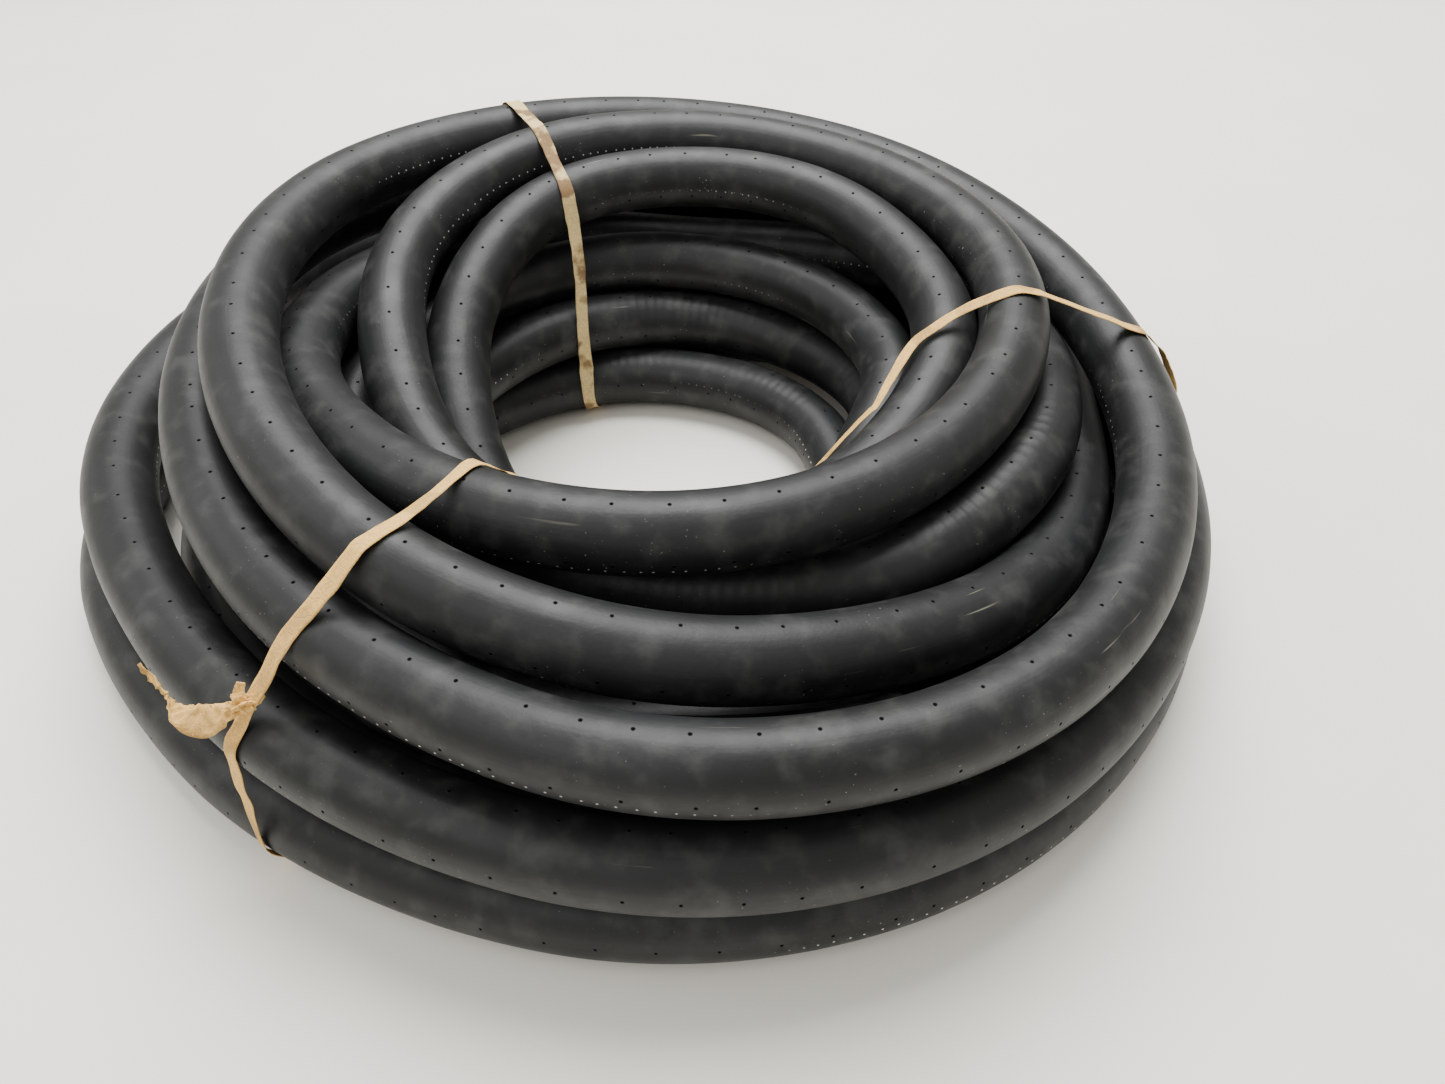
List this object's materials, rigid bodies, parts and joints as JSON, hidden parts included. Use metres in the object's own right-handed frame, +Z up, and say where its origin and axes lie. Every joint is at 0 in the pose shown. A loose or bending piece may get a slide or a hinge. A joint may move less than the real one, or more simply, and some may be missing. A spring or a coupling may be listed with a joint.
{
  "type": "coiled hose",
  "caption": "Length of plain black rubber refrigerant hose wound into a loose open coil and held with strips of kraft paper, one of them knotted.",
  "frame": {"origin": "centre of the coil's bounding box, on the surface it lies on", "axes": "+Z up out of the coil's eye, +X to the right and +Y to the rear as the picture shows it"},
  "size_m": [0.511, 0.4861, 0.1408],
  "materials": {
    "rubber": "satin",
    "paper_rear": "matte",
    "paper_right": "matte",
    "paper_front": "matte",
    "paper_knot": "matte"
  },
  "bodies": {
    "root": {"hose": "rubber", "paper_tie_rear": "paper_rear", "paper_tie_right": "paper_right", "paper_tie_front": "paper_front", "paper_tie_front_knot": "paper_knot"}
  },
  "joints": []
}
